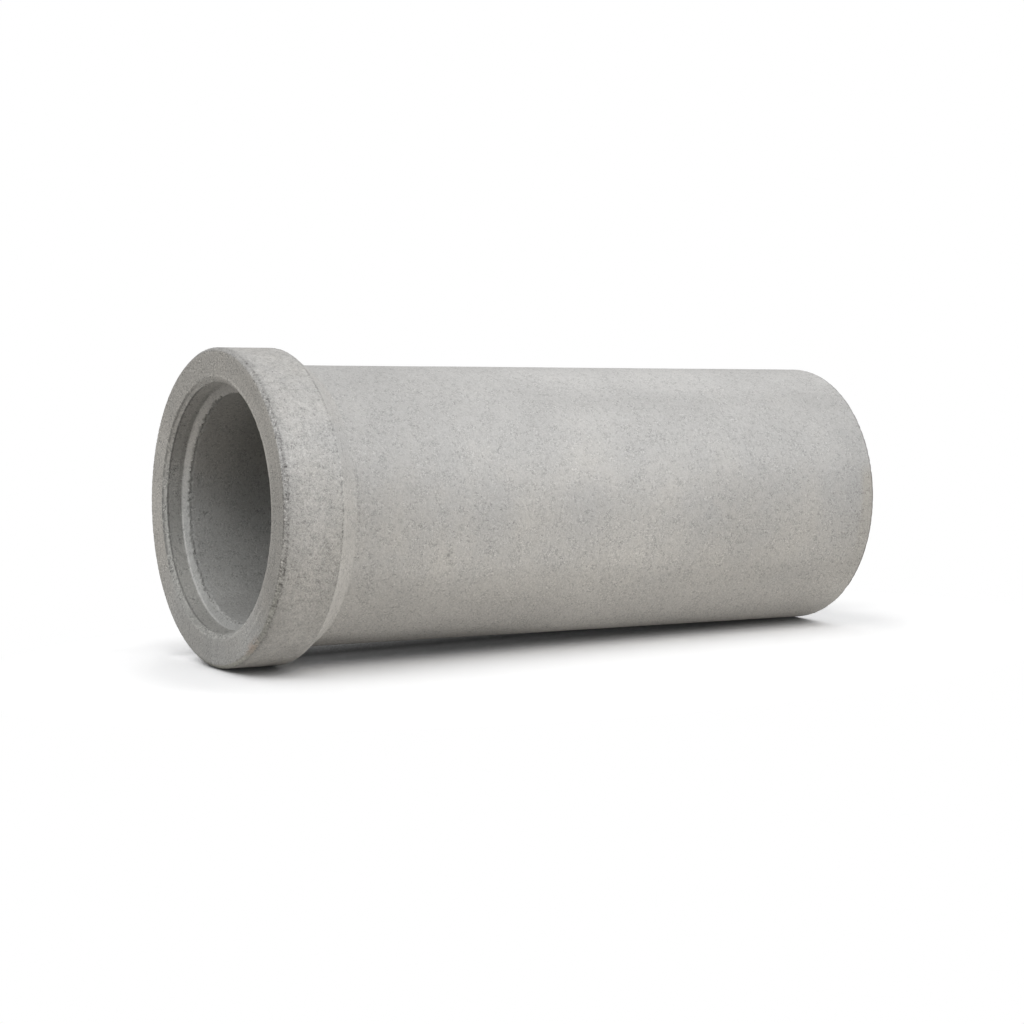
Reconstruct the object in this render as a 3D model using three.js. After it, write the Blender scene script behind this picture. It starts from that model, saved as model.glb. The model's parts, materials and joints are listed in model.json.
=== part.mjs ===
// Precast concrete sewer pipe, cast in one piece: a plain barrel with a thicker bell at one end.
// It lies on the floor on the back edge of its bell and on its plain end, so its axis slopes
// a little down towards the plain end. Millimetres, +Z up, pipe axis along X, bell at -X.
import * as THREE from 'three';

// ---- driving dimensions ---------------------------------------------------------------------

// Barrel
const OVERALL_LENGTH = 2560; // mouth face to plain end face
const BORE_DIAMETER = 800;
const BARREL_WALL = 100;
const END_OUTER_ROUND = 8; // worn arris round the outside of the plain end
const END_INNER_ROUND = 5; // arris where the bore leaves the plain end

// Bell, outside
const BELL_RISE = 60; // how far the bell stands out from the barrel
const BELL_LENGTH = 218; // mouth face to the start of the back slope
const BACK_SLOPE_LENGTH = 82; // along the axis, from the bell down to the barrel
const NOSE_ROUND = 12; // arris round the outside of the mouth face
const BELL_BACK_ROUND = 6; // arris where the bell turns into the back slope
const SLOPE_FOOT_FILLET = 24; // hollow where the back slope meets the barrel

// Bell, inside
const LEAD_IN_DEPTH = 15; // chamfer round the mouth, along the axis
const LEAD_IN_RISE = 16.5; // the same chamfer, outwards
const SOCKET_DEPTH = 67; // mouth face to the root of the socket
const SOCKET_DRAFT = 8.5; // how much wider the socket's radius is at its lead-in than at its root
const SEAT_RISE = 30; // socket root above the bore
const SEAT_LENGTH = 18; // along the axis, from the socket root down to the bore

// Facets of the turned solid
const FACETS_ROUND = 96;
const DEGREES_PER_ROUND_STEP = 30;

// ---- radii that follow from them ------------------------------------------------------------

const boreRadius = BORE_DIAMETER / 2;
const barrelRadius = boreRadius + BARREL_WALL;
const bellRadius = barrelRadius + BELL_RISE;
const socketRootRadius = boreRadius + SEAT_RISE;
const socketEntryRadius = socketRootRadius + SOCKET_DRAFT;
const mouthRadius = socketEntryRadius + LEAD_IN_RISE;

// ---- profile --------------------------------------------------------------------------------

// A corner of the wall's section: its radius from the axis, its distance from the mouth face
// and the radius that its arris is rounded or filled to.
function corner(radius, station, round = 0) {
  return { point: new THREE.Vector2(radius, station), round };
}

// The section through the wall, once round: mouth face, outside, plain end, bore, socket.
const wallCorners = [
  corner(mouthRadius, 0),
  corner(bellRadius, 0, NOSE_ROUND),
  corner(bellRadius, BELL_LENGTH, BELL_BACK_ROUND),
  corner(barrelRadius, BELL_LENGTH + BACK_SLOPE_LENGTH, SLOPE_FOOT_FILLET),
  corner(barrelRadius, OVERALL_LENGTH, END_OUTER_ROUND),
  corner(boreRadius, OVERALL_LENGTH, END_INNER_ROUND),
  corner(boreRadius, SOCKET_DEPTH + SEAT_LENGTH),
  corner(socketRootRadius, SOCKET_DEPTH),
  corner(socketEntryRadius, LEAD_IN_DEPTH),
];

// Points of an arc of the corner's own radius, tangent to both of its sides.
function roundedCorner(before, { point, round }, after) {
  if (round === 0) return [point.clone()];
  const towardsBefore = before.clone().sub(point).normalize();
  const towardsAfter = after.clone().sub(point).normalize();
  const halfAngle = Math.acos(towardsBefore.dot(towardsAfter)) / 2;
  const tangentLength = round / Math.tan(halfAngle);
  const bisector = towardsBefore.clone().add(towardsAfter).normalize();
  const centre = point.clone().addScaledVector(bisector, round / Math.sin(halfAngle));

  const start = point.clone().addScaledVector(towardsBefore, tangentLength);
  const end = point.clone().addScaledVector(towardsAfter, tangentLength);
  const turn = Math.PI - 2 * halfAngle;
  const direction = Math.sign(towardsAfter.cross(towardsBefore));
  const steps = Math.max(2, Math.ceil(THREE.MathUtils.radToDeg(turn) / DEGREES_PER_ROUND_STEP));
  const arc = [start];
  for (let step = 1; step < steps; step += 1) {
    arc.push(start.clone().rotateAround(centre, (direction * turn * step) / steps));
  }
  arc.push(end);
  return arc;
}

function closedProfile(corners) {
  const points = corners.flatMap((current, index) => {
    const before = corners.at(index - 1).point;
    const after = corners[(index + 1) % corners.length].point;
    return roundedCorner(before, current, after);
  });
  return [...points, points[0].clone()];
}

// ---- solid ----------------------------------------------------------------------------------

// One facet faces straight down, so that the faceted solid lies flat as the round one does.
function turnedWall(profile) {
  const wall = new THREE.LatheGeometry(profile, FACETS_ROUND, Math.PI / FACETS_ROUND);
  return wall.rotateZ(-Math.PI / 2);
}

// The slope of the line from the bell's back edge to the plain end's lower edge.
function restingSlope(profile) {
  const lastAt = (radius) => profile.findLast((point) => Math.abs(point.x - radius) < 0.001);
  const bellFoot = lastAt(bellRadius);
  const endFoot = lastAt(barrelRadius);
  const drop = (bellFoot.x - endFoot.x) * Math.cos(Math.PI / FACETS_ROUND);
  return Math.atan(drop / (endFoot.y - bellFoot.y));
}

const profile = closedProfile(wallCorners);
const concrete = new THREE.MeshStandardMaterial({
  color: 0xa9a7a1,
  roughness: 0.92,
  metalness: 0,
});

const pipe = new THREE.Mesh(turnedWall(profile), concrete);
pipe.name = 'pipe';
pipe.rotation.y = restingSlope(profile);

// The origin is on the floor, under the middle of the pipe.
pipe.updateMatrixWorld();
const footprint = new THREE.Box3().setFromObject(pipe, true);
const middle = footprint.getCenter(new THREE.Vector3());
pipe.position.set(-middle.x, -middle.y, -footprint.min.z);

const group = new THREE.Group();
group.add(pipe);

export default group;
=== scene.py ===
import json
import math
import random

import bpy
import numpy as np
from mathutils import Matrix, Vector, noise


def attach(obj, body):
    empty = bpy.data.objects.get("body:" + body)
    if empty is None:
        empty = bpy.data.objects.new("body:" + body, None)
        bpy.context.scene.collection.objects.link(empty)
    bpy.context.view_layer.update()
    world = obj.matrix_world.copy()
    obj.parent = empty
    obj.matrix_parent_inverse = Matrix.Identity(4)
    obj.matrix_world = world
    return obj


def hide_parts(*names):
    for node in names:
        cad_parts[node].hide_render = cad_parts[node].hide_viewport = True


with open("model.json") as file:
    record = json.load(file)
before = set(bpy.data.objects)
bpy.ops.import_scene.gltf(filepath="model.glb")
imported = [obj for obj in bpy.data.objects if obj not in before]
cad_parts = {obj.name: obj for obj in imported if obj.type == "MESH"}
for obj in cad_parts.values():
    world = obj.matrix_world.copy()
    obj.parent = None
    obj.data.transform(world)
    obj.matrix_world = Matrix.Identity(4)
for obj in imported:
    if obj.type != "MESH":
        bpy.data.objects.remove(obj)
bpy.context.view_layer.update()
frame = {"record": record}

# The pipe's own axes: station runs from the mouth face towards the plain end, up and side cross it.
mouth = next(m for m in frame["record"]["mounts"] if m["name"] == "mouth_face")
MOUTH_CENTRE = Vector((mouth["pos_m"][0], 0.0, mouth["pos_m"][2]))
ALONG = -Vector(mouth["axis"]).normalized()
SIDE = Vector((0.0, 1.0, 0.0))
UP = ALONG.cross(SIDE)
AXIS_SLOPE = math.atan2(-ALONG.z, ALONG.x)

# ---- sizes of the casting, metres ---------------------------------------------------------------

LENGTH = 2.560
BORE_RADIUS = 0.400
BARREL_RADIUS = 0.500
BELL_RADIUS = 0.560
MOUTH_RADIUS = 0.455
NOSE_DEPTH = 0.012
SOCKET_ENTRY_RADIUS = 0.4385
SOCKET_ROOT_RADIUS = 0.430
LEAD_IN_DEPTH = 0.015
SOCKET_DEPTH = 0.067
SEAT_FOOT = 0.085
BELL_LENGTH = 0.218
SLOPE_FOOT = 0.300


# ---- section through the wall -------------------------------------------------------------------


class Corner:
    """A corner of the section: its station and radius, the rounding of its arris, and the mesh beside it.

    Rings stand spacing apart over the stretch called held to both sides of it, with so many segments round.
    """

    def __init__(self, station, radius, rounding, spacing, held, segments):
        self.at = np.array((station, radius))
        self.rounding, self.spacing, self.held, self.segments = rounding, spacing, held, segments


MOUTH = Corner(0.0, MOUTH_RADIUS, 0.003, 0.003, 0.004, 800)
NOSE_FACE = Corner(0.0, BELL_RADIUS - NOSE_DEPTH, 0.003, 0.0026, 0.008, 1600)
NOSE_SIDE = Corner(NOSE_DEPTH, BELL_RADIUS, 0.003, 0.0026, 0.010, 1600)
BELL_BACK = Corner(BELL_LENGTH, BELL_RADIUS, 0.004, 0.003, 0.006, 800)
FOOT = Corner(SLOPE_FOOT, BARREL_RADIUS, 0.014, 0.005, 0.008, 800)
PLAIN_OUTER = Corner(LENGTH, BARREL_RADIUS, 0.005, 0.004, 0.008, 400)
PLAIN_INNER = Corner(LENGTH, BORE_RADIUS, 0.005, 0.004, 0.0, 400)
BORE_ARRIS = Corner(SEAT_FOOT, BORE_RADIUS, 0.002, 0.0028, 0.009, 800)
SOCKET_ROOT = Corner(SOCKET_DEPTH, SOCKET_ROOT_RADIUS, 0.010, 0.005, 0.0, 400)
SOCKET_ENTRY = Corner(LEAD_IN_DEPTH, SOCKET_ENTRY_RADIUS, 0.002, 0.003, 0.004, 800)
OUTSIDE_CORNERS = [MOUTH, NOSE_FACE, NOSE_SIDE, BELL_BACK, FOOT, PLAIN_OUTER]
INSIDE_CORNERS = [PLAIN_INNER, BORE_ARRIS, SOCKET_ROOT, SOCKET_ENTRY]
SECTION = OUTSIDE_CORNERS + INSIDE_CORNERS

WIDEST_SPACING = 0.13
SPACING_GROWTH = 1.5
WIDEST_BEND = math.radians(25)
SEGMENTS_BETWEEN = 400
SEGMENTS_IN_BORE = 200
BORE_MARGIN = 0.001
RUN_SLACK = 1e-6
# The run from the section's last ring back to its first.
CLOSING_RUN = 0.003


def rounded(before, corner, after):
    """Points of the arc that rounds a corner, from its first tangent point to its last."""
    back = (before.at - corner.at) / np.linalg.norm(before.at - corner.at)
    on = (after.at - corner.at) / np.linalg.norm(after.at - corner.at)
    half = math.acos(float(back @ on)) / 2
    reach = corner.rounding / math.tan(half)
    turn = math.pi - 2 * half
    steps = max(2, math.ceil(turn * corner.rounding / corner.spacing), math.ceil(turn / WIDEST_BEND))
    bisector = (back + on) / np.linalg.norm(back + on)
    centre = corner.at + bisector * corner.rounding / math.sin(half)
    first = corner.at + back * reach - centre
    way = math.copysign(1, back[1] * on[0] - back[0] * on[1])
    points = []
    for step in range(steps + 1):
        a = way * turn * step / steps
        c, s = math.cos(a), math.sin(a)
        points.append(centre + np.array((c * first[0] - s * first[1], s * first[0] + c * first[1])))
    return points


def graded(length, start, end):
    """Shares of a straight run at which its rings stand: close by the two corners, wide in the middle."""
    left, right = [0.0], [length]
    near, far = start.spacing, end.spacing
    while right[-1] - left[-1] > near + far:
        if near <= far:
            left.append(left[-1] + near)
            if left[-1] >= start.held:
                near = min(near * SPACING_GROWTH, WIDEST_SPACING)
        else:
            right.append(right[-1] - far)
            if length - right[-1] >= end.held:
                far = min(far * SPACING_GROWTH, WIDEST_SPACING)
    return [x / length for x in left[1:] + right[:0:-1]]


def wall_section():
    """The closed section, one row a ring: station, radius, its outward normal's way along and way out, and
    the length run so far.

    Each corner gets middle, the run at the middle of its arc, and reach, the run from there that it rules.
    """
    points, spans = [], []
    count = len(SECTION)
    arcs = [rounded(SECTION[i - 1], SECTION[i], SECTION[(i + 1) % count]) for i in range(count)]
    for i, arc in enumerate(arcs):
        run = arcs[(i + 1) % count][0] - arc[-1]
        spans.append((len(points), len(points) + len(arc) - 1))
        points += arc
        length = np.linalg.norm(run)
        points += [arc[-1] + run * share for share in graded(length, SECTION[i], SECTION[(i + 1) % count])]
    points = np.array(points)
    chord = np.roll(points, -1, 0) - np.roll(points, 1, 0)
    chord /= np.linalg.norm(chord, axis=1)[:, None]
    run = np.concatenate([[0], np.cumsum(np.linalg.norm(np.diff(points, axis=0), axis=1))])
    for corner, (first, last) in zip(SECTION, spans):
        corner.middle = (run[first] + run[last]) / 2
        corner.reach = (run[last] - run[first]) / 2 + corner.held
    return np.column_stack([points, -chord[:, 1], chord[:, 0], run])


def segments_of(section):
    """How many segments each ring has: what the nearest corner asks for, or half a neighbour's if more."""
    counts = []
    for _, radius, _, _, run in section:
        n = SEGMENTS_IN_BORE if radius < BORE_RADIUS + BORE_MARGIN else SEGMENTS_BETWEEN
        for corner in SECTION:
            if abs(run - corner.middle) <= corner.reach + RUN_SLACK:
                n = corner.segments
        counts.append(n)
    # From 1600 down to 200 it halves three times.
    for _ in range(3):
        for i in range(len(counts)):
            counts[i] = max(counts[i], counts[i - 1] // 2, counts[(i + 1) % len(counts)] // 2)
    return counts


class Wall:
    """The casting's surface as arrays with one entry a vertex.

    Station, radius and turn say where it stands, along and outward which way it faces, and run how far
    round the section it is. Turn 0 is up, and a quarter turn is SIDE.
    """

    def __init__(self):
        section = wall_section()
        counts = segments_of(section)
        self.section = section
        self.turn = np.concatenate([np.arange(n) * 2 * math.pi / n for n in counts])
        for column, name in enumerate(("station", "radius", "along", "outward", "run")):
            setattr(self, name, np.repeat(section[:, column], counts))
        self.sunk = np.zeros(len(self.turn))
        self.faces = []
        starts = np.concatenate([[0], np.cumsum(counts)[:-1]])
        for i in range(len(counts)):
            j = (i + 1) % len(counts)
            self.bridge(starts[i], counts[i], starts[j], counts[j])

    def bridge(self, a, n, b, m):
        """Faces from the ring of n vertices that starts at a to the ring of m that starts at b."""
        if n == m:
            self.faces += [(a + k, a + (k + 1) % n, b + (k + 1) % n, b + k) for k in range(n)]
        elif n == 2 * m:
            for k in range(m):
                left, middle, right = a + 2 * k, a + 2 * k + 1, a + (2 * k + 2) % n
                self.faces += [(left, middle, b + k), (middle, right, b + (k + 1) % m, b + k)]
        else:
            for k in range(n):
                left, middle, right = b + 2 * k, b + 2 * k + 1, b + (2 * k + 2) % m
                self.faces += [(a + k, middle, left), (a + k, a + (k + 1) % n, right, middle)]

    def turned(self, along, out):
        """Each vertex's way along and way out as station, side and up."""
        return np.column_stack([along, out * np.sin(self.turn), out * np.cos(self.turn)])

    def places(self):
        return self.turned(self.station, self.radius)

    def facings(self):
        return self.turned(self.along, self.outward)

    def from_corner(self, corner):
        """How far each vertex stands from a corner along the section, negative on the side before it."""
        around = self.section[-1, 4] + CLOSING_RUN
        return (self.run - corner.middle + around / 2) % around - around / 2


# ---- what casting and handling leave ------------------------------------------------------------

# A slight swell of the whole surface: how deep it lies, then the depth and the size of each layer of lumps.
SWELL_LEVEL = 0.0005
SWELL = [(0.0007, 0.28), (0.0002, 0.07)]
# How each arris has crumbled: the corner, how deep at most, the size of a lump, and how far it reaches.
CRUMBLED = [
    (NOSE_FACE, 0.0014, 0.008, 0.006),
    (NOSE_SIDE, 0.0022, 0.008, 0.008),
    (MOUTH, 0.0014, 0.009, 0.005),
    (SOCKET_ENTRY, 0.0014, 0.009, 0.005),
    (BORE_ARRIS, 0.0140, 0.012, 0.012),
    (BELL_BACK, 0.0024, 0.010, 0.007),
    (PLAIN_OUTER, 0.0016, 0.014, 0.012),
    (PLAIN_INNER, 0.0016, 0.014, 0.008),
]
CRUMBLED_LEVEL = 0.15
# Smaller lumps lie on these: how high they are beside them, and how many times smaller.
FINER_HEIGHT, FINER_BY = 0.4, 2.7
# Crumbling stays full until this share of its reach, and eases off past it.
CRUMBLED_FADE = 1.3
# A shallow groove on the mouth face beside the nose: how far in from the corner, how far it is looked for,
# how deep and how wide it is, how much of it is there, and the size and layer of its lumps.
GROOVE_IN, GROOVE_REACH = 0.0010, 0.006
GROOVE_DEPTH, GROOVE_WIDTH = 0.0009, 0.0018
GROOVE_LEVEL, GROOVE_LUMP, GROOVE_LAYER = 0.7, 0.03, 12
# Small bites broken out of an arris at random: the corner, how many, from and to which turn in degrees,
# how far from the arris, how far that varies, and the least and greatest radius.
SCATTERED = [
    (NOSE_SIDE, 300, -180, 180, 0.0010, 0.0025, 0.0022, 0.0044),
    (NOSE_SIDE, 170, -116, -30, -0.0040, 0.0050, 0.0022, 0.0048),
    (NOSE_FACE, 220, -180, 180, 0.0, 0.0015, 0.0018, 0.0034),
    (NOSE_FACE, 110, -160, -40, 0.0010, 0.0025, 0.0020, 0.0038),
    (NOSE_SIDE, 80, -155, -105, -0.008, 0.0080, 0.0025, 0.0055),
    (BELL_BACK, 190, -180, 180, -0.0010, 0.0040, 0.0022, 0.0054),
    (MOUTH, 90, -180, 180, 0.0, 0.0025, 0.0020, 0.0040),
    (SOCKET_ENTRY, 110, 0, 180, 0.0, 0.0025, 0.0020, 0.0045),
    (BORE_ARRIS, 180, -180, 180, 0.0010, 0.0035, 0.0030, 0.0065),
    (PLAIN_OUTER, 70, -180, 180, 0.0, 0.0060, 0.0030, 0.0060),
]
# The least and greatest depth of a bite, in radii of its ball, and how far off it is felt, also in radii.
BITE_DEPTHS = (0.35, 0.7)
BITE_SEARCH = 2.5
# Larger chips: the corner, turn in degrees, distance from the arris, radius and depth in millimetres.
CHIPS = [
    (NOSE_SIDE, -66, -1, 7, 3.0),
    (NOSE_SIDE, -71, 0, 8, 3.5),
    (NOSE_SIDE, -75, 1, 7, 3.0),
    (NOSE_SIDE, -89, 2, 6, 2.5),
    (NOSE_SIDE, -92, 3, 6, 2.5),
    (NOSE_SIDE, -113, -6, 9, 3.5),
    (NOSE_SIDE, -119, -4, 10, 3.5),
    (NOSE_FACE, -122, 3, 7, 2.5),
    (NOSE_SIDE, -24, -2, 9, 3.0),
    (NOSE_SIDE, 38, -3, 9, 3.0),
    (NOSE_SIDE, 112, -5, 11, 4.0),
    (NOSE_SIDE, 145, 0, 8, 3.0),
    (BELL_BACK, -78, -3, 9, 3.0),
    (BELL_BACK, -85, -2, 7, 2.5),
    (BELL_BACK, -100, 0, 7, 2.5),
    (BELL_BACK, -118, -2, 6, 2.0),
    (BELL_BACK, 64, -2, 10, 3.5),
    (BELL_BACK, 131, 0, 8, 3.0),
    (SOCKET_ENTRY, 84, 0, 7, 2.5),
    (SOCKET_ENTRY, 90, -2, 8, 3.0),
    (BORE_ARRIS, 29, 1, 11, 5.0),
    (BORE_ARRIS, 157, 2, 11, 4.5),
    (BORE_ARRIS, 163, -2, 9, 3.5),
    (PLAIN_OUTER, 35, 0, 12, 4.0),
    (PLAIN_OUTER, -128, 2, 9, 3.0),
    (PLAIN_OUTER, 104, -3, 10, 3.5),
]
# The bore's arris stays whole between these turns, a little past its top, and eases into it.
BORE_WHOLE = (-4.0, 21.0)
BORE_WHOLE_EASE = 4
# The outside stays whole near its lowest line, on which the casting rests: up to the first of these angles
# in degrees, and less and less up to the second. The outside is the skin down to this depth.
WHOLE_AT_FOOT = (8.0, 16.0)
SKIN_DEPTH = 0.012
# How deep a vertex has sunk where the surface counts as all broken out.
FULLY_BROKEN = 0.003
# How far apart two layers of lumps are taken from the noise, in lumps, and the seed of the bites.
LAYERS_APART = (17.3, 5.1, 9.7)
SEED = 41


def lumps(points, size, layer):
    """Smooth noise from -1 to 1 with lumps of a size; each layer has its own."""
    shift = Vector([way * layer for way in LAYERS_APART])
    return np.array([noise.noise(Vector(p) / size + shift) for p in points])


def eased(x):
    """0 up to 0, 1 from 1 on, and smooth between."""
    x = np.clip(x, 0, 1)
    return x * x * (3 - 2 * x)


def all_bites():
    """The corner, turn, distance from the arris, radius and depth of every bite and chip."""
    chance = random.Random(SEED)
    bites = []
    for corner, count, start, end, offset, vary, least, most in SCATTERED:
        sizes = [chance.uniform(least, most) for _ in range(count)]
        for size in sizes:
            turn = math.radians(chance.uniform(start, end))
            bites.append((corner, turn, offset + chance.uniform(-vary, vary), size))
    bites = [(*found, found[-1] * chance.uniform(*BITE_DEPTHS)) for found in bites]
    for corner, turn, offset, size, depth in CHIPS:
        bites.append((corner, math.radians(turn), offset / 1000, size / 1000, depth / 1000))
    return bites


def bite(wall, places, facings, corner, turn, offset, radius, depth):
    """Sinks what lies within a ball that reaches depth below the surface, as where a lump has broken out."""
    away = wall.from_corner(corner) - offset
    turned = (wall.turn - turn + math.pi) % (2 * math.pi) - math.pi
    felt = BITE_SEARCH * radius
    near = np.flatnonzero((np.abs(away) < felt) & (np.abs(turned) * corner.at[1] < felt))
    if not len(near):
        return
    middle = near[np.argmin(away[near] ** 2 + (turned[near] * corner.at[1]) ** 2)]
    way = facings[middle]
    centre = places[middle] + way * (radius - depth)
    gap = places[near] - centre
    square = (gap**2).sum(1)
    inside = square < radius**2
    near, gap, square = near[inside], gap[inside], square[inside]
    height = gap @ way
    drop = height + np.sqrt(height**2 - square + radius**2)
    places[near] -= drop[:, None] * way
    wall.sunk[near] = np.maximum(wall.sunk[near], drop)


def worn_arrises(wall, places):
    """How deep each vertex has sunk where an arris has crumbled, or in the groove beside the nose."""
    worn = np.zeros(len(places))
    for layer, (corner, depth, lump, reach) in enumerate(CRUMBLED, len(SWELL) + 1):
        away = np.abs(wall.from_corner(corner))
        near = np.flatnonzero(away < reach)
        finer = FINER_HEIGHT * lumps(places[near], lump / FINER_BY, layer)
        broken = np.clip(CRUMBLED_LEVEL + lumps(places[near], lump, layer) + finer, 0, 1)
        if corner is BORE_ARRIS:
            turned = (np.degrees(wall.turn[near]) + 180) % 360 - 180
            first, last = BORE_WHOLE
            begun = eased((turned - first) / BORE_WHOLE_EASE)
            broken *= 1 - begun * eased((last - turned) / BORE_WHOLE_EASE)
        worn[near] = np.maximum(worn[near], depth * broken * eased(CRUMBLED_FADE * (1 - away[near] / reach)))
    beside = wall.from_corner(NOSE_FACE) + GROOVE_IN
    near = np.flatnonzero(np.abs(beside) < GROOVE_REACH)
    there = np.clip(GROOVE_LEVEL + lumps(places[near], GROOVE_LUMP, GROOVE_LAYER), 0, 1)
    groove = GROOVE_DEPTH * np.exp(-((beside[near] / GROOVE_WIDTH) ** 2)) * there
    worn[near] = np.maximum(worn[near], groove)
    return worn


def weathered(wall):
    """The places of the wall's vertices after casting and handling.

    Everything moves inwards, and how far at an arris is kept as the wall's sunk.
    """
    places, facings = wall.places(), wall.facings()
    low, high = WHOLE_AT_FOOT
    off_lowest = np.degrees(np.abs(wall.turn - math.pi))
    outside = (wall.radius > BARREL_RADIUS - SKIN_DEPTH) & (wall.station > LEAD_IN_DEPTH)
    free = np.where(outside, eased((off_lowest - low) / (high - low)), 1.0)
    swell = np.full(len(places), SWELL_LEVEL)
    for layer, (depth, lump) in enumerate(SWELL, 1):
        swell += depth * lumps(places, lump, layer)
    worn = worn_arrises(wall, places)
    wall.sunk = worn * free
    places -= ((np.clip(swell, 0, None) + worn) * free)[:, None] * facings
    for corner, turn, *how in all_bites():
        at_foot = 180 - abs(math.degrees(turn)) < high and corner in (BELL_BACK, PLAIN_OUTER)
        if not at_foot:
            bite(wall, places, facings, corner, turn, *how)
    return places


def in_frame(places):
    """The frame's positions of places given by station, side and up."""
    return np.array(MOUTH_CENTRE) + places @ np.array((ALONG, SIDE, UP))


wall = Wall()
mesh = bpy.data.meshes.new("cast_pipe")
mesh.from_pydata(in_frame(weathered(wall)).tolist(), [], wall.faces)
mesh.polygons.foreach_set("use_smooth", [True] * len(mesh.polygons))
broken = mesh.attributes.new("broken", "FLOAT", "POINT")
broken.data.foreach_set("value", np.clip(wall.sunk / FULLY_BROKEN, 0, 1))
mesh.validate()
mesh.update()
cast_pipe = bpy.data.objects.new("cast_pipe", mesh)
bpy.context.scene.collection.objects.link(cast_pipe)
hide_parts("pipe")
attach(cast_pipe, "root")

# ---- shaders ------------------------------------------------------------------------------------


class Value:
    """A socket that Python arithmetic works on: each operation adds a Math node."""

    def __init__(self, tree, socket):
        self.tree, self.socket = tree, socket

    def also(self, output):
        """Another output of the node that this value comes from."""
        return Value(self.tree, self.socket.node.outputs[output])

    def maths(self, operation, *others):
        return self.tree.node("Math", {"operation": operation}, dict(enumerate((self, *others))))

    def __add__(self, other):
        return self.maths("ADD", other)

    def __sub__(self, other):
        return self.maths("SUBTRACT", other)

    def __rsub__(self, other):
        return self.tree.node("Math", {"operation": "SUBTRACT"}, {0: other, 1: self})

    def __mul__(self, other):
        return self.maths("MULTIPLY", other)

    def __truediv__(self, other):
        return self.maths("DIVIDE", other)

    __radd__, __rmul__ = __add__, __mul__


def diagonal(along, across):
    """How far off a point is that lies so far along and so far across."""
    return (along * along + across * across).maths("SQRT")


# A pit is full over this share of its radius. Cells hold one or none, with next to nothing between.
PIT_CORE = 0.45
SHARE_EASE = 0.001


class Tree:
    """A node tree that is filled through one method."""

    def __init__(self, owner):
        owner.use_nodes = True
        self.nodes, self.links = owner.node_tree.nodes, owner.node_tree.links
        self.nodes.clear()

    def node(self, kind, settings=None, inputs=None, out=0):
        """Adds a node: its settings first, then the value or link of each socket. Gives one output."""
        made = self.nodes.new("ShaderNode" + kind)
        for name, value in (settings or {}).items():
            setattr(made, name, value)
        for name, value in (inputs or {}).items():
            if isinstance(value, Value):
                self.links.new(value.socket, made.inputs[name])
            else:
                made.inputs[name].default_value = value
        return Value(self, made.outputs[out]) if len(made.outputs) else None

    def above(self, value, low, high):
        """0 where value is under low, 1 where it is over high, eased between."""
        limits = {"Value": value, "From Min": low, "From Max": high}
        return self.node("MapRange", {"interpolation_type": "SMOOTHSTEP"}, limits)

    def between(self, value, low, high, blur):
        return self.above(value, low - blur, low + blur) * (1 - self.above(value, high - blur, high + blur))

    def clouds(self, place, size, detail, roughness):
        """Noise about 0, with lumps of about the size in metres."""
        inputs = {"Vector": place, "Scale": 1 / size, "Detail": detail, "Roughness": roughness}
        return self.node("TexNoise", inputs=inputs) - 0.5

    def stretched(self, place, factors):
        return self.node("VectorMath", {"operation": "MULTIPLY"}, {0: place, 1: factors})

    def shifted(self, place, by, share):
        """A place moved by a share of another vector."""
        return self.node("VectorMath", {"operation": "MULTIPLY_ADD"}, {0: by, 1: (share,) * 3, 2: place})

    def mixed(self, factor, first, second):
        colours = {"Factor": factor, "A": first, "B": second}
        return self.node("Mix", {"data_type": "RGBA"}, colours, "Result")

    def pits(self, place, spacing, least, most, share):
        """Round spots, one to a cell, of a radius from least to most, in that share of the cells."""
        cells = self.node("TexVoronoi", inputs={"Vector": place, "Scale": 1 / spacing, "Randomness": 1.0})
        chance = self.node("SeparateColor", inputs={"Color": cells.also("Color")})
        size = (least + chance.also("Green") * (most - least)) / spacing
        there = self.above(chance, 1 - share, 1 - share + SHARE_EASE)
        return (1 - self.above(cells / size, PIT_CORE, 1.0)) * there

    def shown(self):
        """1 for what the camera sees, also in a mirror or through glass, and 0 for what only gives light."""
        camera = self.node("LightPath", out="Is Camera Ray")
        mirror, glass = camera.also("Is Glossy Ray"), camera.also("Is Transmission Ray")
        return camera.maths("MAXIMUM", mirror).maths("MAXIMUM", glass)


# A mask is made by one of the four functions below. It goes by one measure of a point, given by its name.


def over(measure, low, high):
    """0 where the measure is under low, 1 where it is over high, eased between."""
    return lambda point: point.tree.above(getattr(point, measure), low, high)


def under(measure, low, high):
    """1 where the measure is under low, 0 where it is over high, eased between."""
    return lambda point: 1 - point.tree.above(getattr(point, measure), low, high)


def within(measure, low, high, blur):
    """1 from low to high and 0 past them, with edges that ease over blur to both sides."""
    return lambda point: point.tree.between(getattr(point, measure), low, high, blur)


def beyond(measure, low, high, blur):
    """0 from low to high and 1 past them, with edges that ease over blur to both sides."""
    return lambda point: 1 - point.tree.between(getattr(point, measure), low, high, blur)


class Point:
    """What a shader knows of a point: measures, noises and zones, each a value kept under its own name."""

    def __init__(self, tree):
        self.tree = tree

    def total(self, rows):
        """Adds up rows, each an amount and then what it is multiplied by: a name kept here, or a mask."""
        added = 0
        for amount, *factors in rows:
            for factor in factors:
                amount = amount * (getattr(self, factor) if isinstance(factor, str) else factor(self))
            added = amount + added
        return added


# ---- concrete -----------------------------------------------------------------------------------

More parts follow.
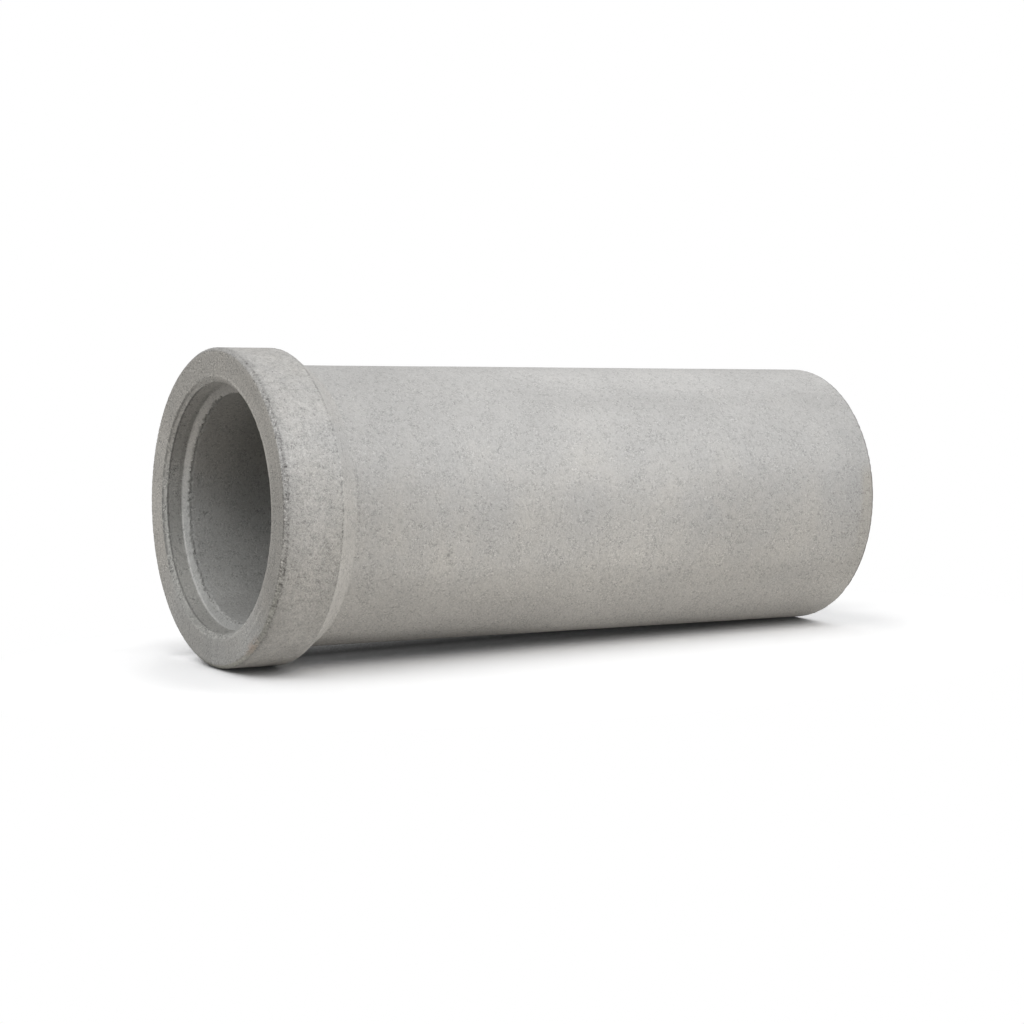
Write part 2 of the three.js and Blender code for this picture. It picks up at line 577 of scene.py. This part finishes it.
# Noises that colour the casting: the size of a lump in metres, the detail and the roughness.
NOISES = {
    "patches": (0.055, 2.0, 0.9),
    "fine": (0.0042, 1.0, 0.7),
    "grain": (0.0095, 1.0, 0.6),
    "mottle": (0.026, 1.0, 0.7),
    "blotch": (0.20, 2.0, 0.5),
    "specks": (0.0068, 1.0, 0.5),
    "bruises": (0.017, 1.0, 0.5),
}
STREAKS = (0.012, 2.0, 0.6)
STREAK_SHORTENED = 0.12
RAYS = (0.022, 1.0, 0.7)
RINGS = (0.016, 1.0, 0.7)
RINGS_BENT = 0.03

# Which part of the wall's thickness counts as inside and which as outside, by the radius.
INSIDE_TO, OUTSIDE_FROM = 0.470, 0.480

# What follows is in rows, as Point.total reads them. Turn is in degrees, 0 up and -90 on the near side, and
# down is how far from the top to either side. Other measures are in metres.

# How much stronger the grain is than on the plain barrel.
GRAIN_STRONGER = [
    (-0.12, "bell"),
    (0.32, "bell", over("down", 40, 75)),
    (-0.42, "bell", over("down", 116, 135)),
    (1.1, "face"),
    (-0.45, "face", within("turn", -150, -20, 12)),
    (-0.7, "face", over("down", 140, 165)),
    (0.6, "lead_in"),
    (0.9, "lead_in", over("down", 85, 100)),
    (0.6, "socket"),
    (0.1, "seat"),
    (-0.2, "seat", over("down", 60, 85)),
    (0.22, "bore"),
    (0.2, "slope"),
    (0.25, "barrel", over("down", 80, 105)),
]
GRAIN = [(0.76, "fine"), (0.42, "grain")]
# Grain comes and goes: where it is calm, this much is taken off, less on the bell.
GRAIN_AT_MOST = 1.45
CALM = [(1.0, "mottle"), (0.7, "patches")]
CALM_FROM, CALM_TO = -0.13, 0.10
CALMED = [(0.90,), (-0.45, "bell")]
MOTTLING = [
    (0.22, "mottle"),
    (0.22, "mottle", "bell"),
    (0.13, "patches"),
    (0.22, "patches", "bell"),
    (0.18, "blotch"),
    (0.04, "blotch", "barrel"),
    (0.12, "streaks", "bell"),
    (0.12, "streaks", "bore"),
    (0.13, "rays", "face"),
    (0.16, "rings", "face"),
    (0.225, "rings", "face", within("turn", -150, -20, 12)),
]

# Pits, dense on the bell and sparse on the barrel: spacing, least and greatest radius, and share of cells.
SMALL_PITS = (0.013, 0.0022, 0.0052, 0.55)
SMALL_PITS_SHOW = [(1.0, "bell"), (0.3, "face"), (0.22, "barrel"), (0.1, "slope")]
PATCHES_WITH_PITS = [(1.0, "patches"), (0.14, "bell")]
PATCH_FROM, PATCH_TO = 0.0, 0.12
RARE_PITS = (0.040, 0.0026, 0.0062, 0.40)
RARE_PITS_SHOW = [(0.8, "bell"), (0.64, "barrel"), (0.4, "face")]
PITS_BENT_SCALE, PITS_BENT = 90.0, 0.008
PIT_DARKER = 0.27
# Dirt in what has broken out, and painted shade in the bites on the inside, with painted light in those low
# on the far side: how much darker it is. Freshly bruised spots are lighter.
DIRT_AND_PAINTED_SHADE_IN_BROKEN = [
    (0.38, "exposed"),
    (-0.68, "exposed", over("bruises", 0.02, 0.10), within("turn", -100, -30, 12)),
    (-0.16, "exposed", over("down", 104, 118)),
    (0.20, "inside"),
    (-0.42, "inside", over("turn", 138, 156)),
]
# Single larger pits and nicks on the outside: station, turn, radius, and how much darker their middle is.
MARKS = [
    (0.671, -106.2, 0.0110, 0.40),
    (0.682, -105.4, 0.0075, 0.24),
    (0.672, -104.7, 0.0080, 0.26),
    (1.540, -103.5, 0.0090, 0.30),
    (0.066, -84.0, 0.0090, 0.22),
    (0.103, -74.0, 0.0100, 0.26),
    (0.155, -72.0, 0.0090, 0.24),
]
MARK_RAGGED = 0.006
MARK_CORE = 0.3

# Lines that follow the corners: dirt and pits along some arrises, painted highlight where a rim or arris
# faces the light, and painted shade where one turns away or sinks into a recess. The corner, how far off it
# the line lies along and outwards, its half width, all in millimetres, how far it runs on through calm
# patches, and its change of tone.
DIRT_AND_PAINTED_LIGHT_LINES = [
    (MOUTH, 3.5, -3.0, 6.0, 0.16, [(-0.36, within("turn", 22, 124, 8))]),
    # Painted highlights on the rounded rim of the mouth: low down, and along its near side.
    (MOUTH, 0.0, 0.0, 6.0, 0.06, [(0.12, over("down", 150, 160))]),
    (MOUTH, 0.0, 2.5, 11.0, 0.50, [(0.09, within("turn", -172, 4, 6)), (0.16, within("turn", -88, -14, 8))]),
    # Painted highlight along the socket's entry arris on the far side.
    (SOCKET_ENTRY, -3.5, 3.5, 4.2, 0.15, [(0.13, within("turn", 22, 150, 8))]),
    (SOCKET_ENTRY, 3.0, -0.5, 5.0, 0.25, [(-0.36, within("turn", 20, 172, 6))]),
    # Painted shade in the socket's root on the upper far side, and painted light on the seat's edge below it.
    (SOCKET_ROOT, -6.0, 0.0, 12.0, 0.40, [(-0.16, within("turn", 15, 98, 8))]),
    (SOCKET_ROOT, 2.5, -3.0, 5.2, 0.40, [(0.24, within("turn", 98, 168, 8))]),
    # Painted shade just inside the bore, past its arris on the far side.
    (BORE_ARRIS, 4.5, 0.0, 6.0, 0.12, [(-0.25, within("turn", 15, 142, 6))]),
    (NOSE_FACE, 0.0, -1.5, 5.0, 0.14, [
        (0.04, within("turn", -172, -8, 8)),
        (-0.23, within("turn", -172, -8, 8), within("down", 68, 112, 8)),
    ]),
    (NOSE_SIDE, 1.0, 0.0, 5.6, 0.16, [
        (-0.24, within("turn", -172, -8, 8), over("specks", -0.06, 0.08)),
    ]),
    (BELL_BACK, -3.0, 0.0, 6.5, 0.10, [
        (-0.07,),
        (-0.18, within("turn", -47, -28, 4)),
        (-0.34, within("turn", -100, -88, 3), over("specks", -0.02, 0.05)),
    ]),
    (BELL_BACK, 0.0, -1.0, 5.0, 0.10, [(0.05,), (0.15, within("turn", -85, -54, 4))]),
    (BELL_BACK, 10.0, -7.0, 14.0, 0.20, [(0.05, over("down", 62, 76))]),
    (FOOT, 4.0, 0.0, 11.0, 0.05, [
        (-0.24, over("down", 62, 76), over("specks", -0.10, 0.06)),
        (0.144, over("down", 62, 76), over("down", 96, 106), over("specks", -0.10, 0.06)),
    ]),
    # Painted shade on the plain end's rounded arris, which turns away from the light.
    (PLAIN_OUTER, 0.0, 0.0, 10.5, 0.60, [(-0.46,)]),
]
LINE_CORE = 0.4
# The noise at which a line is all there: this much, less a share of how far it runs on.
LINE_CALM, LINE_EASE = 0.06, 0.5

# Painted light and shade: the tone is made lighter and darker from one face to the next and round the pipe,
# as light and shade fall on each. Each list makes one factor.
PAINTED_LIGHT_AND_SHADE = [
    # Painted light on the underside, and painted shade towards the ends of the near and far side.
    [
        (0.38, "exposed", over("down", 126, 166)),
        (-0.10, "exposed", within("down", 74, 126, 9), beyond("station", 0.55, 1.75, 0.2)),
        (0.17, "slope", over("down", 100, 124)),
        (0.085, "barrel", over("down", 100, 124)),
    ],
    # Barrel.
    [(0.055, "barrel", within("turn", -118, -103, 7)), (0.09, "slope", within("turn", -118, -103, 7))],
    [(0.12, "barrel", over("station", 0.6, 1.4), under("down", 20, 62))],
    [(-0.035, "barrel", within("turn", -56, -26, 10))],
    [
        (-0.22, "barrel", over("down", 146, 158)),
        (0.26, "barrel", over("down", 146, 158), over("station", 0.9, 1.4)),
    ],
    [(0.05, "barrel", within("down", 96, 114, 5), under("station", 1.4, 1.8))],
    [(-0.06, "barrel", over("station", 1.0, 1.3), within("turn", -44, -34, 6))],
    [(0.06, "barrel", over("station", 1.0, 1.4), within("down", 126, 150, 8))],
    [
        (0.03, "barrel", within("turn", -78, -44, 8), within("station", 0.6, 1.6, 0.2)),
        (0.03, "barrel", over("turn", -28, -18)),
    ],
    [(-0.09, "barrel", over("station", 2.36, 2.54), within("down", 50, 125, 15))],
    [(0.04, "barrel", within("station", 0.65, 2.1, 0.2), under("down", 70, 95))],
    # Bell and back slope.
    [(0.06, "bell", over("down", 144, 156)), (0.04, "slope", within("turn", -145, -124, 6))],
    [(0.09, "bell", within("down", 132, 154, 8))],
    [(-0.12, "bell", under("station", 0.014, 0.042))],
    [(-0.10, "bell", under("station", 0.045, 0.085), within("turn", -142, -121, 5))],
    [(0.07, "bell", within("station", 0.075, 0.150, 0.015), within("turn", -124, -84, 8))],
    [(-0.38, "bell", over("station", 0.12, 0.18), over("down", 153, 168))],
    [(-0.04, "slope", within("turn", -75, -50, 8))],
    [(0.08, "slope", within("turn", -107, -97, 4)), (0.04, "slope", within("turn", -92, -75, 5))],
    [(-0.16, "slope", over("down", 134, 144), under("station", 0.245, 0.265))],
    # Mouth face: painted light, most on its far side, and painted shade low down.
    [
        (0.05, "face"),
        (0.40, "face", within("turn", 60, 129, 14)),
        (-0.14, "face", over("turn", 132, 152)),
    ],
    [(-0.13, "face", over("down", 145, 164)), (0.06, "face", within("turn", -20, 50, 16))],
    [(0.03, "face", within("turn", 34, 48, 6)), (0.075, "face", within("turn", 86, 103, 4))],
    [(0.09, "face", within("turn", 131, 144, 5)), (-0.08, "face", under("turn", -163, -147))],
    [
        (0.11, "face", within("turn", -144, -114, 8)),
        (-0.13, "face", within("turn", -144, -114, 8), over("radius", 0.490, 0.510)),
    ],
    [(0.07, "face", within("turn", -112, -92, 6)), (-0.05, "face", within("turn", 54, 84, 6))],
    # Lead-in, socket and seat.
    [
        (0.45, "lead_in"),
        (-0.33, "lead_in", over("down", 14, 50)),
        (-0.15, "lead_in", over("down", 125, 160)),
    ],
    [(-0.055, "lead_in", within("down", 92, 168, 8))],
    [(-0.09, "lead_in", within("turn", 152, 168, 6))],
    [(0.12, "lead_in", within("turn", 72, 88, 8)), (0.12, "socket", within("turn", 72, 88, 8))],
    [
        (0.36, "socket"),
        (-0.37, "socket", over("down", 8, 42)),
        (-0.16, "socket", within("down", 48, 112, 12)),
    ],
    [(-0.20, "socket", over("down", 136, 160))],
    [(0.36, "seat"), (-0.10, "seat", over("down", 75, 100)), (-0.26, "seat", over("down", 132, 160))],
    # Bore: painted shade deeper in on its upper half, and painted light low down near the mouth.
    [
        (-0.14, "bore", over("station", 0.14, 0.34), under("down", 88, 124)),
        (-0.12, "bore", over("station", 0.14, 0.34), under("down", 88, 124), over("down", 26, 46)),
    ],
    [(0.15, "bore", under("station", 0.14, 0.34), within("down", 92, 150, 10))],
    # The struck edge of the bell: painted light on its near side, most low down, painted shade on its far
    # side, and light and dark specks, most on the near side.
    [(0.09, "edge", within("turn", -104, -4, 8)), (-0.22, "edge", within("turn", 14, 175, 6))],
    [(0.21, "edge", within("turn", -176, -96, 12))],
    [
        (0.09, "edge", over("specks", 0.07, 0.15)),
        (0.27, "edge", over("specks", 0.07, 0.15), within("turn", -112, -36, 14)),
        (-0.065, "edge", under("specks", -0.15, -0.07)),
        (-0.195, "edge", under("specks", -0.15, -0.07), within("turn", -112, -36, 14)),
    ],
]

BASE_TONE = 0.50
PALE_TINT = (1.0, 0.988, 0.968, 1)
# Tints laid over each other in this order, each where its rows say.
INNER_TINT = (1.0, 0.990, 0.943, 1)
INNER = [(1.0, "inside"), (0.7, "face")]
COOL_TINT = (1.0, 1.0, 0.972, 1)
COOL = [(1.0, "bore"), (1.0, "seat")]
EARTHY_TINT = (1.0, 0.952, 0.874, 1)
EARTHY = [
    (0.04, "outside"),
    (0.92, "outside", over("down", 38, 145)),
    (0.27, "bell", under("down", 40, 64)),
    (0.27, "slope", under("down", 40, 64)),
    (0.13, "bell", within("down", 86, 130, 8)),
    (0.10, "slope", within("down", 66, 120, 8)),
    (0.7, "barrel", over("station", 2.49, 2.53), within("turn", -116, -76, 6)),
    (0.75, "face"),
    (-0.44, "face", over("down", 110, 146)),
    (0.8, "inside", under("down", 50, 120)),
    (0.2, "patches"),
    (0.6, "blotch"),
]
# Algae and rust stain the struck edge of the bell, where the pipe has lain in the wet.
ALGAE_TINT = (0.99, 0.97, 0.85, 1)
ALGAE = [(0.5, "edge", within("turn", -156, -112, 8)), (0.8, "edge", over("down", 152, 162))]
RUST_TINT = (1.0, 0.80, 0.66, 1)
RUST = [
    (0.55, "edge", within("turn", -149, -140, 4), over("mottle", -0.16, 0.02)),
    (0.55, "face", over("radius", 0.520, 0.545), within("turn", -149, -140, 4), over("mottle", -0.16, 0.02)),
]

RELIEF = [(0.0012, "fine"), (0.0019, "grain"), (0.0014, "mottle")]
ROUGHNESS = [(0.90,), (0.15, "grain")]
SPECULAR = 0.2


class Casting(Point):
    """A point of the casting: where it lies along and round the pipe, its noises, and the zones it is in."""

    def __init__(self, tree):
        super().__init__(tree)
        own = tree.node("TexCoord", out="Object")
        moved = {"Vector": own, "Location": MOUTH_CENTRE, "Rotation": (0, AXIS_SLOPE, 0)}
        self.place = tree.node("Mapping", {"vector_type": "TEXTURE"}, moved)
        self.station = tree.node("SeparateXYZ", inputs={"Vector": self.place}, out="X")
        side, up = self.station.also("Y"), self.station.also("Z")
        self.radius = diagonal(side, up)
        self.turn = side.maths("ARCTAN2", up) * (180 / math.pi)
        self.down = self.turn.maths("ABSOLUTE")
        self.broken = tree.node("Attribute", {"attribute_name": "broken"}, out="Fac")
        self.find_zones(tree.above, tree.between)
        self.find_noises(tree)

    def find_zones(self, above, between):
        # Each zone's edge eases over a few millimetres.
        station, radius = self.station, self.radius
        off_mouth = above(radius, MOUTH_RADIUS - 0.0015, MOUTH_RADIUS + 0.0010)
        self.face = (1 - above(station, 0.0005, 0.0030)) * off_mouth
        self.outside = above(radius, INSIDE_TO, OUTSIDE_FROM) * (1 - self.face)
        self.exposed = self.outside + self.face
        self.inside = 1 - self.outside - self.face
        self.lead_in = (1 - above(station, LEAD_IN_DEPTH - 0.001, LEAD_IN_DEPTH + 0.001)) * (1 - off_mouth)
        self.socket = between(station, LEAD_IN_DEPTH, SOCKET_DEPTH, 0.001) * self.inside
        self.seat = between(station, SOCKET_DEPTH, SEAT_FOOT, 0.0015) * self.inside
        self.bore = above(station, SEAT_FOOT - 0.002, SEAT_FOOT + 0.003) * self.inside
        self.bell = self.outside * (1 - above(station, BELL_LENGTH - 0.001, BELL_LENGTH + 0.002))
        self.slope = between(station, BELL_LENGTH, SLOPE_FOOT + 0.002, 0.002) * self.outside
        self.barrel = above(station, SLOPE_FOOT - 0.001, SLOPE_FOOT + 0.005) * self.outside
        on_nose = 1 - above(station, NOSE_DEPTH - 0.001, NOSE_DEPTH + 0.002)
        self.edge = on_nose * above(radius, BELL_RADIUS - 0.014, BELL_RADIUS - 0.011)

    def find_noises(self, tree):
        for name, settings in NOISES.items():
            setattr(self, name, tree.clouds(self.place, *settings))
        self.streaks = tree.clouds(tree.stretched(self.place, (STREAK_SHORTENED, 1.0, 1.0)), *STREAKS)
        across = tree.stretched(self.place, (0.0, 1.0, 1.0))
        across = tree.node("VectorMath", {"operation": "NORMALIZE"}, {0: across})
        self.rays = tree.clouds(across, *RAYS)
        out = tree.node("CombineXYZ", inputs={"X": self.radius})
        self.rings = tree.clouds(tree.shifted(out, across, RINGS_BENT), *RINGS)

    def grained(self):
        """The tone that grain and mottling give, about 1."""
        calm = self.tree.above(self.total(CALM), CALM_FROM, CALM_TO) * self.total(CALMED)
        strength = (1 + self.total(GRAIN_STRONGER)) * (GRAIN_AT_MOST - calm)
        return 1 + strength * self.total(GRAIN) + self.total(MOTTLING)

    def pitted(self):
        """How much of a pit is here, by small and rare ones together."""
        tree = self.tree
        bend = {"Vector": self.place, "Scale": PITS_BENT_SCALE, "Detail": 1.0}
        bent = tree.shifted(self.place, tree.node("TexNoise", inputs=bend, out="Color"), PITS_BENT)
        small = tree.pits(bent, *SMALL_PITS) * self.total(SMALL_PITS_SHOW)
        small = small * tree.above(self.total(PATCHES_WITH_PITS), PATCH_FROM, PATCH_TO)
        return small + tree.pits(bent, *RARE_PITS) * self.total(RARE_PITS_SHOW)

    def mark(self, station, turn, reach):
        """1 in the middle of a round mark on the outside."""
        across = (self.turn - turn) * (BARREL_RADIUS * math.pi / 180)
        off = diagonal(self.station - station, across) + self.grain * MARK_RAGGED
        return (1 - self.tree.above(off, reach * MARK_CORE, reach)) * self.outside

    def line(self, corner, along, out, width, wander):
        """1 on a line that follows a corner of the section and comes and goes."""
        station, radius = corner.at.tolist()
        off = diagonal(self.station - (station + along / 1000), self.radius - (radius + out / 1000))
        there = self.tree.above(self.patches + self.mottle, -wander, LINE_CALM - wander * LINE_EASE)
        return (1 - self.tree.above(off, width / 1000 * LINE_CORE, width / 1000)) * there

    def tone(self):
        """How light the concrete is, about 1, with painted light and shade laid in."""
        tone = self.grained()
        tone = tone * (1 - self.pitted() * PIT_DARKER) * (1 - self.broken * self.total(DIRT_AND_PAINTED_SHADE_IN_BROKEN))
        for *where, darker in MARKS:
            tone = tone * (1 - self.mark(*where) * darker)
        for *where, rows in DIRT_AND_PAINTED_LIGHT_LINES:
            tone = tone * (1 + self.line(*where) * self.total(rows))
        # Painted light and shade, one factor a list.
        for rows in PAINTED_LIGHT_AND_SHADE:
            tone = tone * (1 + self.total(rows))
        return tone

    def tint(self):
        """The colour apart from how light it is."""
        mixed = self.tree.mixed
        tint = mixed(self.total(INNER), PALE_TINT, INNER_TINT)
        tint = mixed(self.total(COOL), tint, COOL_TINT)
        tint = mixed(self.tree.above(self.total(EARTHY), 0.0, 1.0), tint, EARTHY_TINT)
        tint = mixed(self.total(ALGAE), tint, ALGAE_TINT)
        return mixed(self.total(RUST), tint, RUST_TINT)


def concrete():
    """Bare dry-cast concrete: fine grain, soft blotches, pits that show most on the bell, grime, and painted
    light and shade.
    """
    made = bpy.data.materials.new("bare_cast_concrete")
    tree = Tree(made)
    point = Casting(tree)
    shade = {"Vector": point.tint(), "Scale": point.tone() * BASE_TONE}
    colour = tree.node("VectorMath", {"operation": "SCALE"}, shade)
    relief = {"Height": point.total(RELIEF), "Distance": 1.0, "Strength": 1.0}
    finish = {
        "Base Color": colour,
        "Roughness": point.total(ROUGHNESS),
        "Specular IOR Level": SPECULAR,
        "Normal": tree.node("Bump", inputs=relief),
    }
    tree.node("OutputMaterial", inputs={"Surface": tree.node("BsdfPrincipled", inputs=finish)})
    return made


mesh.materials.append(concrete())

# ---- floor --------------------------------------------------------------------------------------

FLOOR_HALF = 60.0
# The floor's tone for the light that it throws back on the casting.
FLOOR_LIT = 0.30
# Its tone as it is seen: how light it is, and lighter past the edge of the oval round the casting.
FLOOR_SEEN = [(1.198,), (0.006, "x"), (0.094, "y"), (0.13, over("oval", 0.90, 1.04))]
OVAL_SHIFT, OVAL_SQUEEZE = (0, 0.2, 0), (0.62, 1, 0)
# From the first of these to the second, in radii of the oval, it turns white.
WHITE_FROM, WHITE_TO = 1.08, 1.40
# Two painted shadows, by how far off they still feel the casting: a close one where it touches, and a wide
# soft one.
CLOSE_REACH = 0.12
WIDE_REACH = 1.2
SHADOW_SAMPLES = 4
CONTACT_POWER, CONTACT_DARKER = 2.7, 0.90
# The wide one paints light into the lamps' own shadow, and tints it a little greener and bluer.
WIDE_LIGHTER, WIDE_GREENER, WIDE_BLUER = 0.346, 0.010, 0.035
# Painted shadow on the ground under the pipe's far side, painted light on the strip beside the bell, and
# painted shadow on what lies further off.
PAINTED_SHADOW_BENEATH = [(-0.74, over("y", 0.0, 0.12), over("wide", 0.55, 0.75), over("x", -1.10, -0.95))]
BESIDE_POWER, BESIDE_AT_MOST = 4.0, 1.2
PAINTED_LIGHT_BESIDE_BELL = [(50.0, "beside", over("y", 0.0, 0.9), under("x", -1.10, -0.95))]
PAINTED_SHADOW_FURTHER = [
    (-0.25, "wide", under("x", -1.10, -0.95), over("y", 0.40, 0.60)),
    (-0.09, over("x", 1.3, 1.5), over("y", -0.06, 0.12), over("wide", 0.03, 0.14)),
]


def floor_material():
    """Lit paper: what is seen of it is white with the casting's shadow, painted shadow and painted light laid
    over it, and plain white further off.
    """
    made = bpy.data.materials.new("pale_floor")
    tree = Tree(made)
    point = Point(tree)
    place = tree.node("TexCoord", out="Object")
    point.x = tree.node("SeparateXYZ", inputs={"Vector": place}, out="X")
    point.y = point.x.also("Y")
    squeezed = {"Vector": place, "Location": OVAL_SHIFT, "Scale": OVAL_SQUEEZE}
    squeezed = tree.node("Mapping", {"vector_type": "POINT"}, squeezed)
    point.oval = tree.node("VectorMath", {"operation": "LENGTH"}, {0: squeezed}, "Value")
    open_sky = {"samples": SHADOW_SAMPLES}
    close = 1 - tree.node("AmbientOcclusion", open_sky, {"Distance": CLOSE_REACH}, "AO")
    wide = 1 - tree.node("AmbientOcclusion", open_sky, {"Distance": WIDE_REACH}, "AO")
    point.wide, point.beside = wide, close.maths("POWER", BESIDE_POWER)
    # A contact shadow painted into the floor's tone where the casting touches it.
    painted_contact_shadow = 1 - close.maths("POWER", CONTACT_POWER) * CONTACT_DARKER
    # Painted light beside the bell and painted shadow further off.
    further = 1 + point.total(PAINTED_LIGHT_BESIDE_BELL).maths("MINIMUM", BESIDE_AT_MOST) + point.total(PAINTED_SHADOW_FURTHER)
    # The seen tone, with its painted light and painted shadows.
    shown_tone = point.total(FLOOR_SEEN) * (1 + wide * WIDE_LIGHTER) * painted_contact_shadow
    shown_tone = shown_tone * (1 + point.total(PAINTED_SHADOW_BENEATH)) * further
    shown = tree.shown()
    tone = FLOOR_LIT + shown * (shown_tone - FLOOR_LIT)
    green, blue = tone * (1 + wide * WIDE_GREENER), tone * (1 + wide * WIDE_BLUER)
    colour = tree.node("CombineColor", inputs={"Red": tone, "Green": green, "Blue": blue})
    paper = tree.node("BsdfDiffuse", inputs={"Color": colour})
    white = tree.node("Emission", inputs={"Color": (1, 1, 1, 1), "Strength": 1.0})
    far_off = shown * tree.above(point.oval, WHITE_FROM, WHITE_TO)
    surface = tree.node("MixShader", inputs={0: far_off, 1: paper, 2: white})
    tree.node("OutputMaterial", inputs={"Surface": surface})
    return made


floor_mesh = bpy.data.meshes.new("floor")
floor_corners = [(x * FLOOR_HALF, y * FLOOR_HALF, 0) for x, y in ((-1, -1), (1, -1), (1, 1), (-1, 1))]
floor_mesh.from_pydata(floor_corners, [], [(0, 1, 2, 3)])
floor_mesh.materials.append(floor_material())
floor = bpy.data.objects.new("floor", floor_mesh)
bpy.context.scene.collection.objects.link(floor)

# ---- light --------------------------------------------------------------------------------------

# The sky: its strength at the horizon, and how much stronger it is overhead.
WORLD_STRENGTH = 0.27
WORLD_LIFT = 0.50

world = bpy.data.worlds.new("studio")
bpy.context.scene.world = world
sky_tree = Tree(world)
direction = sky_tree.node("TexCoord", out="Generated")
height = sky_tree.node("SeparateXYZ", inputs={0: direction}, out="Z")
sky = WORLD_STRENGTH + height.maths("MAXIMUM", 0.0) * WORLD_LIFT
sky_light = {"Color": (1, 1, 1, 1), "Strength": sky + sky_tree.shown() * (1 - sky)}
sky_tree.node("OutputWorld", inputs={"Surface": sky_tree.node("Background", inputs=sky_light)})

# Softboxes: where each stands, what it faces, its width, its height and its power.
LAMPS = {
    "overhead": ((0.0, -0.5, 6.0), (0, 0, 0), 6.0, 6.0, 61.0),
    "bell_high": ((-5.5, -1.0, 5.0), (0, 0, 0.5), 4.0, 4.0, 70.0),
    "plain_high": ((4.5, -2.0, 5.5), (0, 0, 0.5), 4.0, 4.0, 32.0),
    "front_low": ((0.5, -6.5, 0.7), (0, 0, 0.4), 6.0, 1.2, 171.0),
    "plain_low": ((6.0, -4.0, 0.7), (0, 0, 0.4), 4.0, 1.2, 65.0),
}


def placed(name, data, place, way):
    """An object at a place that looks along a way, as lamps and cameras do."""
    body = bpy.data.objects.new(name, data)
    body.location = place
    body.rotation_mode = "QUATERNION"
    body.rotation_quaternion = Vector(way).to_track_quat("-Z", "Y")
    bpy.context.scene.collection.objects.link(body)
    return body


for name, (place, aim, width, height, power) in LAMPS.items():
    lamp = bpy.data.lights.new(name, "AREA")
    lamp.shape, lamp.size, lamp.size_y, lamp.energy = "RECTANGLE", width, height, power
    placed(name, lamp, place, Vector(aim) - Vector(place))

# ---- camera -------------------------------------------------------------------------------------

FOCAL_PIXELS = 2344.41
FRAME_PIXELS = 1024
SENSOR = 36.0
CAMERA_PLACE = (-4.6655, -7.4617, 1.3366)
CAMERA_WAY = (0.52297, 0.84691, -0.09613)

camera_data = bpy.data.cameras.new("camera")
camera_data.sensor_width = SENSOR
camera_data.lens = FOCAL_PIXELS / FRAME_PIXELS * SENSOR
bpy.context.scene.camera = placed("camera", camera_data, CAMERA_PLACE, CAMERA_WAY)

bpy.context.scene.view_settings.view_transform = "Standard"
